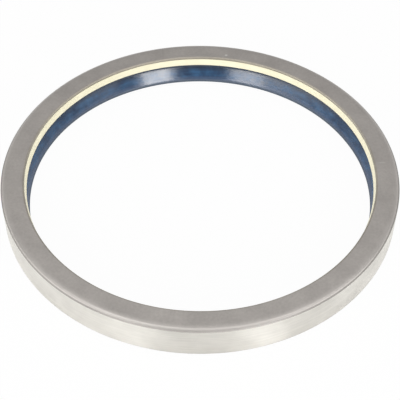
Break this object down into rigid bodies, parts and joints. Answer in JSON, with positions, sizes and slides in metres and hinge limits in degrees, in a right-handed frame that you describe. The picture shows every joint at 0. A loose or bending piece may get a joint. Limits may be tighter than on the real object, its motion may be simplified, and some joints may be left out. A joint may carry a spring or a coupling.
{
  "type": "combination shaft seal",
  "caption": "Large steel-cased rotary shaft seal with a flanged turned case, a pale dirt scraper and a sprung blue sealing lip.",
  "frame": {"origin": "on the shaft's axis, in the plane of the oil-side rim that the seal stands on", "axes": "+Z along the shaft's axis, from the oil side towards the flange on the air side"},
  "size_m": [0.205, 0.205, 0.018],
  "materials": {
    "case_steel": "matt grey drawn sheet on the flange, turned bright outside",
    "scraper_polyurethane": "smooth cream polyurethane",
    "carrier_steel": "dull grey phosphated sheet",
    "lip_rubber": "glossy moulded blue nitrile rubber",
    "spring_wire": "bright drawn spring wire"
  },
  "bodies": {
    "root": {"outer_case": "case_steel", "scraper_ring": "scraper_polyurethane", "carrier_ring": "carrier_steel", "sealing_lip": "lip_rubber", "garter_spring": "spring_wire"}
  },
  "joints": []
}
